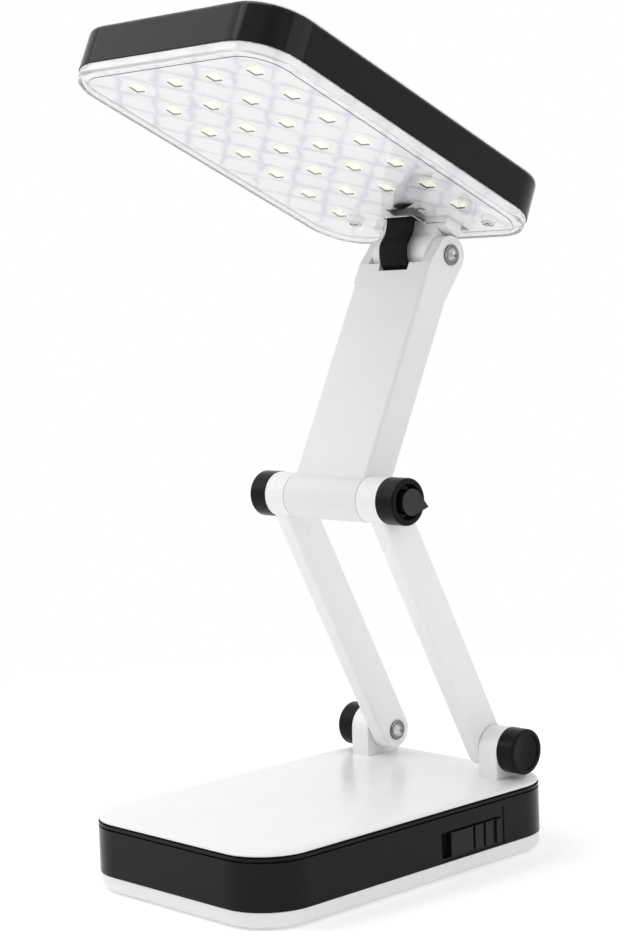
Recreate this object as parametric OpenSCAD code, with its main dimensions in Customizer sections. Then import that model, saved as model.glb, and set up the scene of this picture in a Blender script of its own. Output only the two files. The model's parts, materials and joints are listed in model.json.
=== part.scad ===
// Accordion LED desk lamp: base, twin legs, folding arm and flat lamp head.
// Millimetres, +Z up. The origin is on the table under the centre of the base.
// +X is the side with the slide switch, -Y is the front (the head reaches over it).

/* [Base] */
// Width of the base
base_w = 131; // [110:1:150]
// Length of the base, front to back
base_l = 200; // [170:1:240]
// Corner radius of the base in plan
base_r = 26; // [16:1:34]
// Wall of the tray, the band and the cover
base_t = 2.2; // [1.6:0.1:3]
// Height of the white tray under the band
tray_h = 7.6; // [6:0.1:12]
// Height of the black band
band_h = 24.7; // [20:0.1:32]
// Thickness of the white top cover
cover_t = 1.8; // [1.6:0.1:4]
// Radius of the round along the tray's lower edge
tray_round = 2.8; // [1:0.1:4]
// Height of the soft crown along a cover's edge
cover_round = 1.5; // [0.5:0.1:1.7]
// Width of that crown
crown_w = 4.5; // [1:0.1:8]
// How far the tray and the covers stand inside the band
trim_inset = 0.4; // [0.1:0.1:1]
// Chamfer along the band's upper edge
band_chamfer = 1; // [0.4:0.1:1.6]
// Height of the rubber feet under the tray
foot_h = 1; // [0.6:0.1:3]
// Radius of a rubber foot
foot_r = 6; // [4:0.5:10]

/* [Switch] */
// Length of the switch window, front to back
window_l = 41.8; // [36:0.1:50]
// Height of the switch window
window_h = 12; // [10:0.1:14]
// Front end of the window, from the base's centre
window_y = 12.9; // [0:0.1:30]
// Lower edge of the window above the tray
window_z = 2.2; // [1.5:0.1:5]
// Length of the thumb piece
thumb_l = 35.4; // [30:0.1:38]
// How far the thumb piece stands out of the band
thumb_out = 1.3; // [0.5:0.1:2.5]
// Width of its two narrow grooves
groove_w = 1.6; // [0.8:0.1:2.4]
// Spacing of the grooves
groove_step = 7.45; // [6:0.05:9]
// Width of the rear groove, which is the widest
rear_groove_w = 3; // [0.8:0.1:3.6]
// Travel of the thumb piece towards the front
switch_travel = 4.5; // [3:0.5:4.5]
// Depth of the shallow panel around the window
panel_d = 0.4; // [0.2:0.1:0.8]

/* [Hinges] */
// Height of the base hinge above the cover's top face
hinge_up = 13.3; // [12:0.1:18]
// Distance from the base hinge to the rear end of the base
hinge_back = 18; // [16:0.5:30]
// Radius of the black end caps
cap_r = 11.3; // [10:0.1:12]
// Length of a base hinge cap
low_cap_l = 10.1; // [8:0.1:12]
// Length of a middle hinge cap
mid_cap_l = 11; // [9:0.1:12]
// Radius of the barrel and of the leg rings around the middle hinge
barrel_r = 11.1; // [10:0.1:11.5]
// Radius of the hinge pins' shafts
pin_r = 3; // [2.5:0.1:3.5]
// Bore through the hollow hinge pins
pin_bore_r = 2.2; // [1:0.1:2.4]
// Radius of the hinge pins' flanges
flange_r = 5.2; // [4.5:0.1:6]
// Running clearance between a pin and the piece that turns on it
pin_play = 0.06; // [0.02:0.01:0.1]
// Gap between two pieces that turn past each other
side_gap = 0.4; // [0.3:0.05:0.8]
// Radius of the teardrop boss on the friction knob
knob_r = 6.4; // [5:0.1:7]
// Reach of the knob's pointed end
knob_tip = 11.6; // [10:0.1:12]

/* [Legs] */
// Distance between the base hinge and the middle hinge
leg_l = 145.5; // [120:0.5:160]
// Width of a leg
leg_w = 10; // [8:0.1:12]
// Depth of a leg, front to back
leg_d = 19.4; // [16:0.1:20]
// Rounding of a leg's long edges
leg_round = 2; // [1:0.1:3]
// Forward lean of the legs as photographed, degrees from upright
leg_lean = 27.4; // [0:0.1:60]
// Wall of a leg around its cable channel
leg_t = 2; // [1.5:0.1:3]

/* [Arm] */
// Distance from the middle hinge to the head hinge, along the arm
arm_l = 130.3; // [110:0.5:140]
// Width of the arm
arm_w = 48.4; // [40:0.1:50]
// Distance of the arm's front face in front of the middle hinge
arm_front = 7.6; // [6:0.1:9]
// Distance of the arm's open edge behind the middle hinge
arm_rear = 9.3; // [8:0.1:11]
// Distance of the head hinge behind the middle hinge's line
head_set = 4.4; // [2:0.1:5]
// Wall of the arm
arm_t = 2.2; // [1.8:0.1:3]
// Radius of the ears around the head hinge
ear_r = 9.5; // [8:0.1:10]
// Thickness of an ear
ear_w = 6.2; // [5:0.1:8]
// Backward lean of the arm as photographed, degrees from upright
arm_lean = 26.4; // [0:0.1:60]
// Width of the black cable strap over the head hinge
strap_w = 18.7; // [12:0.1:20]
// Thickness of the strap
strap_t = 1.2; // [0.8:0.1:1.6]

/* [Head] */
// Width of the lamp head
head_w = 140; // [110:1:150]
// Length of the lamp head
head_l = 200; // [170:1:240]
// Corner radius of the head in plan
head_r = 24.5; // [16:1:34]
// Distance from the head hinge to the head's rear end
head_back = 12.4; // [12:0.1:20]
// Height of the lens above the head hinge
lens_up = 13.4; // [12.5:0.1:16]
// How far the lens stands out below the black band
lens_out = 4.6; // [2:0.1:5]
// Thickness of the lens
lens_t = 1.8; // [1.2:0.1:2.5]
// Height of the head's black band
head_band_h = 18.6; // [16:0.1:24]
// Tilt of the head as photographed, degrees above level
head_tilt = 23.9; // [0:0.1:60]
// Spacing of the LEDs across the head
led_dx = 26.8; // [20:0.5:28]
// Spacing of the LEDs along the head
led_dy = 23.7; // [20:0.1:26]
// Distance of the last LED row from the head hinge
led_y = 20; // [17:0.5:24]
// Side of one square LED
led_s = 6.2; // [3:0.1:8]

/* [Hidden] */
$fn = 64;
e = 0.01;

// Heights in the base
tray_z = foot_h;
band_z = tray_z + tray_h;
cover_z = band_z + band_h;
top_z = cover_z + cover_t;
joint_gap = 0.2;          // between pieces that are assembled into each other
run_gap = 0.3;            // between pieces that slide or turn past each other inside
lip_h = 3;                // lips that locate the tray and the covers in a band
lip_t = 1.5;

// Hinge places in the Y-Z plane
hinge_y = base_l / 2 - hinge_back;
hinge_z = top_z + hinge_up;
mid_y = hinge_y - leg_l * sin(leg_lean);
mid_z = hinge_z + leg_l * cos(leg_lean);
head_y = mid_y + arm_l * sin(arm_lean) + head_set * cos(arm_lean);
head_z = mid_z + arm_l * cos(arm_lean) - head_set * sin(arm_lean);

// Stations across the lamp, from the centre outwards
barrel_x = arm_w / 2 + run_gap;
ring_x = barrel_x + run_gap;
ring_boss = 3;            // the leg rings reach in past the legs by this much
leg_x0 = ring_x + ring_boss;
leg_x1 = leg_x0 + leg_w;
lug_x0 = leg_x1 + side_gap;
lug_w = 11.6;
lug_x1 = lug_x0 + lug_w;
lug_r = cap_r - 0.3;
washer_r = 6.2;
washer_t = 1;
washer_seat = 0.8;
flange_t = 0.9;
flange_gap = 0.1;
spigot_r = 7;
spigot_h = 1.5;

// ---------- helpers ----------

// Rounded rectangle
module rrect(w, l, r) {
  square([w - 2 * r, l], center = true);
  square([w, l - 2 * r], center = true);
  for (x = [-1, 1], y = [-1, 1])
    translate([x * (w / 2 - r), y * (l / 2 - r)]) circle(r);
}

// Prism of a rounded rectangle from height z0 up by h
module rprism(w, l, r, z0, h) {
  translate([0, 0, z0]) linear_extrude(h) rrect(w, l, r);
}

// A profile [distance out from the corner's centre, height] swept round a rounded rectangle
module rim(w, l, r, pts) {
  for (k = [0:3]) {
    a = 90 * k;
    cx = (k == 0 || k == 3 ? 1 : -1) * (w / 2 - r);
    cy = (k < 2 ? 1 : -1) * (l / 2 - r);
    translate([cx, cy, 0]) rotate([0, 0, a]) rotate_extrude(angle = 90) polygon(pts);
    across = (k % 2 == 0 ? w : l) / 2 - r;
    along = (k % 2 == 0 ? l : w) - 2 * r;
    rotate([0, 0, a]) translate([across, 0, 0]) rotate([90, 0, 0])
      linear_extrude(along, center = true) polygon(pts);
  }
}

// The same, closed in the middle between heights z0 and z1
module plate(w, l, r, pts, z0, z1) {
  rim(w, l, r, pts);
  translate([r - w / 2, r - l / 2, z0]) cube([w - 2 * r, l - 2 * r, z1 - z0]);
}

// Points of an arc
function arc(cx, cy, r, a0, a1, n = 6) =
  [for (i = [0:n]) let (a = a0 + (a1 - a0) * i / n) [cx + r * cos(a), cy + r * sin(a)]];

// Points of the soft crown along a cover's edge at radius r, rising to height z
function crown(r, z, n = 8) =
  [for (i = [0:n]) let (a = 90 * i / n) [r - crown_w * (1 - cos(a)), z - cover_round * (1 - sin(a))]];

// A Y-Z outline extruded across the lamp from x0 to x1
module across(x0, x1) {
  translate([x0, 0, 0]) rotate([90, 0, 90]) linear_extrude(x1 - x0) children();
}

// A rod across the lamp, centred on [y, z]
module rod(x0, x1, r, y = 0, z = 0, fn = 64) {
  translate([x0, y, z]) rotate([0, 90, 0]) cylinder(h = x1 - x0, r = r, $fn = fn);
}

// A profile [radius, distance] turned about the X axis, growing towards +X
module turned(pts) {
  rotate([0, 90, 0]) rotate_extrude() polygon(pts);
}

// Left and right copies of a piece made on the right
module both() {
  children();
  mirror([1, 0, 0]) children();
}

// Frames of the moving bodies, each with its origin on its own hinge
module at_base_hinge() { translate([0, hinge_y, hinge_z]) children(); }
module at_legs() { at_base_hinge() rotate([leg_lean, 0, 0]) children(); }
module at_mid() { translate([0, mid_y, mid_z]) children(); }
module at_mid_legs() { at_mid() rotate([leg_lean, 0, 0]) children(); }
module at_arm() { at_mid() rotate([-arm_lean, 0, 0]) children(); }
module at_head_hinge() { translate([0, head_y, head_z]) children(); }
module at_head() { at_head_hinge() rotate([-head_tilt, 0, 0]) children(); }
module at_ear() { at_head_hinge() rotate([-arm_lean, 0, 0]) children(); }

// ---------- base ----------

post_x = base_w / 2 - 12.5;
post_y = base_l / 2 - 20;
post_front_y = -post_y;
post_r = 4;
post_split = band_z + 4;  // where a tray boss meets a cover post
screw_r = 1.5;
screw_head_r = 2.8;
screw_head_t = 1.8;
screw_l = 18;
screw_recess = 2.2;
small_head_r = 2.1;       // heads of the small screws
small_head_t = 1.1;
foot_x = base_w / 2 - 22;
foot_y = base_l / 2 - 32;
foot_seat = 0.6;

module post_places() {
  for (x = [-1, 1], y = [post_front_y, post_y]) translate([x * post_x, y, 0]) children();
}

module foot_places() {
  for (x = [-1, 1], y = [-1, 1]) translate([x * foot_x, y * foot_y, 0]) children();
}

battery_w = 46;
battery_l = 72;
battery_h = 21;
battery_y = -42;
cradle_t = 1.6;
cradle_h = 6;

module base_tray() {
  color([0.93, 0.93, 0.92]) difference() {
    union() {
      difference() {
        r = base_r - trim_inset;
        plate(base_w - 2 * trim_inset, base_l - 2 * trim_inset, r,
          concat([[0, tray_z]], arc(r - tray_round, tray_z + tray_round, tray_round, -90, 0),
            [[r, band_z], [0, band_z]]), tray_z, band_z);
        rprism(base_w - 2 * base_t - 2 * trim_inset, base_l - 2 * base_t - 2 * trim_inset,
          base_r - base_t - trim_inset, tray_z + base_t, tray_h);
      }
      // lip inside the band
      difference() {
        rprism(base_w - 2 * base_t - 2 * joint_gap, base_l - 2 * base_t - 2 * joint_gap,
          base_r - base_t - joint_gap, tray_z + base_t, tray_h - base_t + lip_h * 0.6);
        rprism(base_w - 2 * base_t - 2 * joint_gap - 2 * lip_t,
          base_l - 2 * base_t - 2 * joint_gap - 2 * lip_t,
          base_r - base_t - joint_gap - lip_t, tray_z, tray_h + lip_h);
        // clear of the switch
        translate([0, window_y - switch_travel - lip_h, band_z])
          cube([base_w, window_l + switch_travel + 4 * lip_h, lip_h]);
      }
      post_places() translate([0, 0, tray_z]) cylinder(h = post_split - tray_z, r = post_r);
      // ribs that hold the battery
      difference() {
        translate([-battery_w / 2 - joint_gap - cradle_t,
            battery_y - battery_l / 2 - joint_gap - cradle_t, tray_z + base_t - e])
          cube([battery_w + 2 * joint_gap + 2 * cradle_t,
            battery_l + 2 * joint_gap + 2 * cradle_t, cradle_h]);
        translate([-battery_w / 2 - joint_gap, battery_y - battery_l / 2 - joint_gap, tray_z])
          cube([battery_w + 2 * joint_gap, battery_l + 2 * joint_gap, cradle_h + base_t + 1]);
      }
      board_places() translate([0, 0, tray_z]) cylinder(h = board_z - tray_z, r = board_post_r);
    }
    post_places() {
      translate([0, 0, -e]) cylinder(h = post_split + 1, r = screw_r + joint_gap);
      translate([0, 0, tray_z - 1])
        cylinder(h = screw_recess + screw_head_t + 1, r = screw_head_r + joint_gap);
    }
    foot_places() translate([0, 0, tray_z - e]) cylinder(h = foot_seat + e, r = foot_r);
    board_places() translate([0, 0, board_z - board_screw_l])
      cylinder(h = board_screw_l + 1, r = board_screw_r);
  }
}

module rubber_feet() {
  color([0.12, 0.12, 0.13]) foot_places()
    rotate_extrude() polygon([[0, 0], [foot_r - 0.5, 0], [foot_r, 0.5],
      [foot_r, tray_z + foot_seat], [0, tray_z + foot_seat]]);
}

// Pan-head screw pointing up, its head's underside at height 0
module screw_up(r, l, head_r, head_t) {
  cylinder(h = l, r = r, $fn = 24);
  difference() {
    translate([0, 0, -head_t]) rotate_extrude($fn = 32)
      polygon([[0, 0], [head_r - 0.6, 0], [head_r, 0.6], [head_r, head_t], [0, head_t]]);
    for (a = [0, 90]) rotate([0, 0, a])
      translate([-head_r * 0.6, -0.35, -head_t - e]) cube([head_r * 1.2, 0.7, 0.9]);
  }
}

module base_screws() {
  color([0.62, 0.62, 0.64]) post_places() translate([0, 0, tray_z + screw_recess + screw_head_t])
    screw_up(screw_r, screw_l, screw_head_r, screw_head_t);
}

// Places of the switch window, at rest
window_z0 = band_z + window_z;
window_z1 = window_z0 + window_h;
window_y1 = window_y + window_l;
panel_front = 0.8;        // the shallow panel reaches past the window by this much in front,
panel_rear = 2.3;         // behind
panel_top = 5;            // and above it
line_z = 2.5;             // fine line round the band: below its upper edge,
line_w = 0.8;             // width,
line_floor = 0.3;         // width of its floor
line_d = 0.25;            // and depth
jack_x = -24;
jack_z = band_z + 12;
jack_r = 3.6;
jack_in = 0.3;            // the inlet ends this far inside the band's face
jack_bore_r = 2.75;
jack_bore_l = 9;
jack_pin_r = 0.9;

module base_band() {
  color([0.035, 0.035, 0.04]) difference() {
    rim(base_w, base_l, base_r, [[base_r - base_t, band_z], [base_r, band_z],
      [base_r, cover_z - line_z - line_w / 2], [base_r - line_d, cover_z - line_z - line_floor / 2],
      [base_r - line_d, cover_z - line_z + line_floor / 2], [base_r, cover_z - line_z + line_w / 2],
      [base_r, cover_z - band_chamfer],
      [base_r - 0.6 * band_chamfer, cover_z], [base_r - base_t, cover_z]]);
    // switch window and the shallow panel around it
    translate([base_w / 2 - base_t - 1, window_y, window_z0])
      cube([base_t + 2, window_l, window_h]);
    translate([base_w / 2 - panel_d, window_y - panel_front, window_z0 - window_z * 0.6])
      cube([1, window_l + panel_front + panel_rear, window_h + window_z * 0.6 + panel_top]);
    // charging inlet at the rear
    translate([jack_x, base_l / 2 - base_t - 1, jack_z]) rotate([-90, 0, 0])
      cylinder(h = base_t + 2, r = jack_r + joint_gap);
  }
}

module base_cover() {
  r = base_r - trim_inset;
  color([0.95, 0.95, 0.94]) difference() {
    union() {
      plate(base_w - 2 * trim_inset, base_l - 2 * trim_inset, r,
        concat([[0, cover_z], [r, cover_z]],
          crown(r, top_z), [[0, top_z]]),
        cover_z, top_z);
      difference() {
        rprism(base_w - 2 * base_t - 2 * joint_gap, base_l - 2 * base_t - 2 * joint_gap,
          base_r - base_t - joint_gap, cover_z - lip_h, lip_h + e);
        rprism(base_w - 2 * base_t - 2 * joint_gap - 2 * lip_t,
          base_l - 2 * base_t - 2 * joint_gap - 2 * lip_t,
          base_r - base_t - joint_gap - lip_t, cover_z - lip_h - 1, lip_h + 1);
        // clear of the switch's sliding plate
        translate([base_w / 2 - base_t - 4 * lip_t, window_y - switch_travel - lip_h,
            cover_z - lip_h - 1])
          cube([4 * lip_t, window_l + switch_travel + 4 * lip_h, lip_h + 1]);
      }
      post_places() translate([0, 0, post_split]) cylinder(h = cover_z - post_split + e, r = post_r);
      both() {
        // lug beside each leg
        across(lug_x0, lug_x1) {
          translate([hinge_y, hinge_z]) circle(lug_r);
          translate([hinge_y - lug_r, top_z - 1]) square([2 * lug_r, hinge_up + 1]);
        }
        // spigot that carries the cap
        at_base_hinge() rod(lug_x1 - e, lug_x1 + spigot_h, spigot_r);
      }
    }
    post_places() translate([0, 0, post_split - 1]) cylinder(h = screw_l, r = screw_r);
    both() at_base_hinge() {
      rod(lug_x0 - 1, lug_x1 + spigot_h + 1, pin_r);
      rod(lug_x0 - 1, lug_x0 + washer_seat, washer_r + pin_play);
      rod(lug_x1, lug_x1 + spigot_h + 1, flange_r + flange_gap);
    }
    // cable way down through the right lug
    translate([lug_x0 + lug_w / 2, hinge_y, cover_z - lip_h - 1])
      cylinder(h = hinge_up + lip_h + cover_t, r = cable_r + joint_gap);
  }
}

terminal_w = 5;
terminal_h = 1.2;

module battery() {
  color([0.16, 0.17, 0.2]) translate([-battery_w / 2, battery_y - battery_l / 2, tray_z + base_t])
    cube([battery_w, battery_l, battery_h]);
  color([0.75, 0.74, 0.7]) for (s = [-1, 1])
    translate([s * battery_w / 4 - terminal_w / 2, battery_y + battery_l / 2 - 2 * terminal_w,
        tray_z + base_t + battery_h - e])
      cube([terminal_w, terminal_w, terminal_h + e]);
}

board_w = 84;
board_l = 54;
board_t = 1.6;
board_y = 34;
board_z = tray_z + base_t + 3;
board_post_r = 3;
board_screw_r = 1.1;
board_screw_l = 4;
board_hole_in = 4;

module board_places() {
  for (x = [-1, 1], y = [-1, 1])
    translate([x * (board_w / 2 - board_hole_in), board_y + y * (board_l / 2 - board_hole_in), 0])
      children();
}

module circuit_board() {
  color([0.1, 0.36, 0.2]) difference() {
    translate([-board_w / 2, board_y - board_l / 2, board_z]) cube([board_w, board_l, board_t]);
    board_places() translate([0, 0, board_z - 1])
      cylinder(h = board_t + 2, r = board_screw_r + joint_gap);
  }
}

module board_screws() {
  color([0.7, 0.7, 0.72]) board_places() translate([0, 0, board_z + board_t]) mirror([0, 0, 1])
    screw_up(board_screw_r, board_screw_l, small_head_r, small_head_t);
}

// Chips [x, y, width, length, height] and capacitors [x, y], from the board's centre
chips = [[-12, -12, 10, 6, 1.8], [6, 2, 6, 5, 1.6], [-24, 8, 8, 6, 2]];
capacitors = [[-30, -14], [-4, 12], [14, -10]];
capacitor_r = 3.2;
capacitor_h = 9;
coil_x = 24;
coil_y = 12;
coil_r = 5;
coil_h = 5;

module board_components() {
  z = board_z + board_t;
  color([0.13, 0.13, 0.14]) for (c = chips)
    translate([c[0], board_y + c[1], z]) cube([c[2], c[3], c[4]]);
  color([0.2, 0.22, 0.3]) for (p = capacitors)
    translate([p[0], board_y + p[1], z]) cylinder(h = capacitor_h, r = capacitor_r, $fn = 40);
  color([0.55, 0.35, 0.2]) translate([coil_x, board_y + coil_y, z])
    cylinder(h = coil_h, r = coil_r, $fn = 40);
}

// The sliding plate lies behind the band, and the thumb piece stands through its window
slide_t = 1.3;
slide_x = base_w / 2 - base_t - run_gap - slide_t;
thumb_back = 1.6;         // gap between the thumb piece and the window's rear end, at rest
thumb_y = window_y1 - thumb_l - thumb_back;
slide_m = 1.3;            // cover of the sliding plate above and below the window
stem_w = 5;
stem_l = 5;
groove_d = 1.1;
groove_in = 4.4;          // from the thumb piece's rear end to the middle of its rear groove
switch_x = slide_x - 0.4; // outer face of the switch housing
switch_w = 8;
switch_l = 30;
switch_h = 9;
tab_in = 3;               // tabs that carry the housing on the board: from its ends,
tab_w = 2;                // width,
tab_t = 1;                // thickness
tab_foot = 3;             // and reach over the board

module slide_switch() {
  zc = (window_z0 + window_z1) / 2;
  yc = thumb_y + thumb_l / 2 - switch_travel / 2;
  color([0.6, 0.6, 0.62]) difference() {
    translate([switch_x - switch_w, yc - switch_l / 2, zc - switch_h / 2])
      cube([switch_w, switch_l, switch_h]);
    // way of the stem
    translate([switch_x - stem_l - side_gap,
        thumb_y + thumb_l / 2 - stem_w / 2 - switch_travel - side_gap, zc - stem_w / 2 - side_gap])
      cube([stem_l + 1 + side_gap, stem_w + switch_travel + 2 * side_gap, stem_w + 2 * side_gap]);
  }
  // legs down to the circuit board
  color([0.6, 0.6, 0.62]) for (y = [-1, 1])
    translate([switch_x - switch_w, yc + y * (switch_l / 2 - tab_in) - tab_w / 2, board_z + board_t])
      cube([tab_t, tab_w, zc - switch_h / 2 - board_z - board_t + e]);
  color([0.6, 0.6, 0.62]) for (y = [-1, 1])
    translate([board_w / 2 - tab_foot, yc + y * (switch_l / 2 - tab_in) - tab_w / 2, board_z + board_t])
      cube([switch_x - switch_w - board_w / 2 + tab_foot + tab_t, tab_w, tab_t]);
}

module switch_thumb_piece() {
  zc = (window_z0 + window_z1) / 2;
  h = window_h - 2 * run_gap;
  x1 = base_w / 2 + thumb_out;
  color([0.05, 0.05, 0.055]) difference() {
    union() {
      translate([slide_x, window_y - 1, window_z0 - slide_m])
        cube([slide_t, window_l + switch_travel + 2, window_h + 2 * slide_m]);
      translate([slide_x + slide_t - e, thumb_y, zc - h / 2]) cube([x1 - slide_x - slide_t, thumb_l, h]);
      translate([slide_x - stem_l, thumb_y + thumb_l / 2 - stem_w / 2, zc - stem_w / 2])
        cube([stem_l + e, stem_w, stem_w]);
    }
    for (k = [0:2]) {
      w = k == 0 ? rear_groove_w : groove_w;
      translate([x1 - groove_d, thumb_y + thumb_l - groove_in - w / 2 - k * groove_step, zc - h / 2 - 1])
        cube([groove_d + 1, w, h + 2]);
    }
  }
}

jack_l = 11;
jack_w = 9;

module charging_inlet() {
  y1 = base_l / 2 - jack_in;
  color([0.07, 0.07, 0.08]) difference() {
    union() {
      translate([jack_x - jack_w / 2, base_l / 2 - base_t - joint_gap - jack_l, jack_z - jack_w / 2])
        cube([jack_w, jack_l, jack_w]);
      translate([jack_x, base_l / 2 - base_t - joint_gap - e, jack_z]) rotate([-90, 0, 0])
        cylinder(h = y1 - base_l / 2 + base_t + joint_gap, r = jack_r);
    }
    translate([jack_x, y1 - jack_bore_l, jack_z]) rotate([-90, 0, 0])
      cylinder(h = jack_bore_l + 1, r = jack_bore_r, $fn = 40);
  }
  color([0.8, 0.78, 0.7]) translate([jack_x, y1 - jack_bore_l - e, jack_z]) rotate([-90, 0, 0])
    cylinder(h = jack_bore_l - 1, r = jack_pin_r, $fn = 24);
}

cable_r = 1.4;
flat_w = 2.2;             // flat leads in the base
flat_t = 1.2;
bend_swell = 0.05;        // a bend of a cable is this much thicker

// A cable through a list of points, with round joints
module cable(pts, r = cable_r) {
  for (i = [0:len(pts) - 2]) {
    v = pts[i + 1] - pts[i];
    n = norm(v);
    translate(pts[i]) rotate([0, acos(v[2] / n), atan2(v[1], v[0])]) cylinder(h = n, r = r, $fn = 20);
  }
  for (i = [1:len(pts) - 2]) translate(pts[i]) sphere(r + bend_swell, $fn = 20);
}

module base_cable() {
  x = lug_x0 + lug_w / 2;
  zb = board_z + board_t;
  start = [x, hinge_y];
  end = [board_w / 2 - 12, board_y + board_l / 2 - 8];
  run = norm(end - start);
  // flat cable in the upright plane through both its ends
  color([0.1, 0.1, 0.11]) translate([x, hinge_y, 0])
    rotate([0, 0, atan2(end[1] - start[1], end[0] - start[0])]) rotate([90, 0, 0])
      linear_extrude(flat_w, center = true)
        ribbon([[0, cover_z + cover_t], [0, zb + 9], [1.5, zb + 6.5], [4, zb + 5.5], [run - 3, zb + 4.5],
          [run - 0.8, zb + 3.6], [run, zb + 1.6], [run, zb]], flat_t);
}

module battery_leads() {
  z = tray_z + base_t + battery_h + terminal_h;
  y0 = battery_y + battery_l / 2 - 1.5 * terminal_w;
  y1 = board_y - board_l / 2 + 4;
  zb = board_z + board_t;
  for (s = [-1, 1]) color(s > 0 ? [0.6, 0.08, 0.08] : [0.08, 0.08, 0.09])
    across(s * battery_w / 4 - flat_w / 2, s * battery_w / 4 + flat_w / 2)
      ribbon([[y0, z], [y0, z + 1], [y0 + 1, z + 2], [y1 - 3, z + 1.6], [y1 - 0.8, z + 0.8],
        [y1, z - 1], [y1, zb]], flat_t);
}

low_cap_wall = 2.5;
mid_cap_wall = 1.7;
cap_edge = 1.2;           // rounding of a cap's outer edge
cap_rim = 2.6;            // the dished face starts this far in from the cap's side
dish_d = 1.7;             // depth of the dish in the middle
dish_r = 3.5;             // radius of its flat middle
spigot_play = 0.05;

// End cap of length l along +X with a dished face, hollow to radius seat and wall thick in front
module cap(l, seat, wall) {
  turned(concat([[seat, 0], [cap_r, 0]], arc(cap_r - cap_edge, l - cap_edge, cap_edge, 0, 60, 4),
    [[cap_r - cap_rim + 0.4, l - 0.1], [cap_r - cap_rim, l - 1], [dish_r, l - dish_d + 0.1],
     [0, l - dish_d], [0, l - dish_d - wall], [seat, l - dish_d - wall]]));
}

// Cap over the outer end of a base hinge pin, made on the right
module low_cap() {
  color([0.04, 0.04, 0.045]) at_base_hinge() translate([lug_x1, 0, 0])
    cap(low_cap_l, spigot_r + spigot_play, low_cap_wall);
}

module base_cap_right() { low_cap(); }
module base_cap_left() { mirror([1, 0, 0]) low_cap(); }

// Hollow rivet of length l along +X, its rolled and funnelled end at the origin
roll_w = 0.7;
funnel_d = 1.4;
module rivet(l) {
  turned([[pin_bore_r + 1.1, roll_w * 0.3], [pin_bore_r + 1.5, 0], [flange_r - roll_w, 0],
    [flange_r - roll_w * 0.3, roll_w * 0.25], [flange_r, roll_w * 0.7], [flange_r, flange_t],
    [pin_r, flange_t], [pin_r, l - flange_t], [flange_r, l - flange_t], [flange_r, l],
    [pin_bore_r, l], [pin_bore_r, funnel_d], [pin_bore_r + 0.5, funnel_d / 2]]);
}

// Rivets through the legs and their lugs
module base_pins() {
  x0 = leg_x0 - flange_gap - flange_t;
  x1 = lug_x1 + flange_t;
  color([0.6, 0.6, 0.62]) both() at_base_hinge() translate([x0, 0, 0])
    rivet(x1 - x0);
}

module base_washers() {
  color([0.7, 0.7, 0.68]) both() at_base_hinge() difference() {
    rod(lug_x0 + washer_seat - washer_t, lug_x0 + washer_seat, washer_r);
    rod(lug_x0 - 2, lug_x0 + 2, pin_r + pin_play);
  }
}

// ---------- legs ----------

channel_w = leg_w - 2 * leg_t;
channel_z0 = leg_d * 0.75;
channel_z1 = leg_l - leg_d * 0.8;
strip_t = 2;
strip_play = 0.05;

// Right leg in its own frame: Z runs from the base hinge to the middle hinge.
// Only the wired leg has the ways that lead the cable into both hinges.
module leg(wired) {
  xc = (leg_x0 + leg_x1) / 2;
  difference() {
    union() {
      translate([xc, 0, 0]) linear_extrude(leg_l) rrect(leg_w, leg_d, leg_round);
      // round lower end, with the same rounded edge
      translate([xc, 0, 0]) rotate([0, 90, 0]) rotate_extrude() intersection() {
        rotate([0, 0, 90]) rrect(leg_w, leg_d, leg_round);
        translate([0, -leg_w]) square([leg_d, 2 * leg_w]);
      }
      translate([0, 0, leg_l]) rod(ring_x, leg_x1, barrel_r);
    }
    rod(leg_x0 - 1, leg_x1 + 1, pin_r + pin_play);
    translate([0, 0, leg_l]) rod(ring_x - 1, leg_x1 + 1, pin_r);
    // channel, open to the rear
    translate([xc - channel_w / 2, leg_t - leg_d / 2, channel_z0])
      cube([channel_w, leg_d, channel_z1 - channel_z0]);
    if (wired) {
      translate([xc, 0, 0]) cylinder(h = channel_z0 + 1, r = cable_r + joint_gap, $fn = 32);
      translate([xc, pin_r + cable_r + 1, channel_z1 - 1])
        cylinder(h = leg_l - channel_z1 + 1, r = cable_r + joint_gap, $fn = 32);
      translate([0, pin_r + cable_r + 1, leg_l])
        rod(ring_x - 1, xc + cable_r + joint_gap, cable_r + joint_gap, fn = 32);
    }
  }
}

module leg_strip() {
  xc = (leg_x0 + leg_x1) / 2;
  translate([xc - channel_w / 2 + strip_play, leg_d / 2 - strip_t, channel_z0 + strip_play])
    cube([channel_w - 2 * strip_play, strip_t, channel_z1 - channel_z0 - 2 * strip_play]);
}

module leg_right() { color([0.93, 0.93, 0.92]) at_legs() leg(true); }
module leg_left() { color([0.93, 0.93, 0.92]) at_legs() mirror([1, 0, 0]) leg(false); }
module leg_cover_right() { color([0.9, 0.9, 0.89]) at_legs() leg_strip(); }
module leg_cover_left() { color([0.9, 0.9, 0.89]) at_legs() mirror([1, 0, 0]) leg_strip(); }

module leg_cable() {
  xc = (leg_x0 + leg_x1) / 2;
  yb = pin_r + cable_r + 1;
  color([0.1, 0.1, 0.11]) at_legs()
    cable([[xc, 0, pin_r + cable_r], [xc, 0, channel_z0 + 4], [xc, yb, channel_z0 + 14],
      [xc, yb, leg_l], [ring_x + 0.4, yb, leg_l]]);
}

// Middle hinge: an axle with a nut on the left and the friction knob on the right
nut_r = 5;
nut_t = 4;
spring_t = 1;
axle_end = mid_cap_l - 3;
thread_out = 1.5;         // the axle stands this far out of its nut
socket_r = 1;             // socket in the axle's right end
socket_d = 3;

module mid_axle() {
  color([0.62, 0.62, 0.64]) at_mid_legs() difference() {
    rod(-leg_x1 - spring_t - nut_t - thread_out, leg_x1 + axle_end, pin_r);
    rod(leg_x1 + axle_end - socket_d, leg_x1 + axle_end + 1, socket_r, fn = 24);
  }
}

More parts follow.
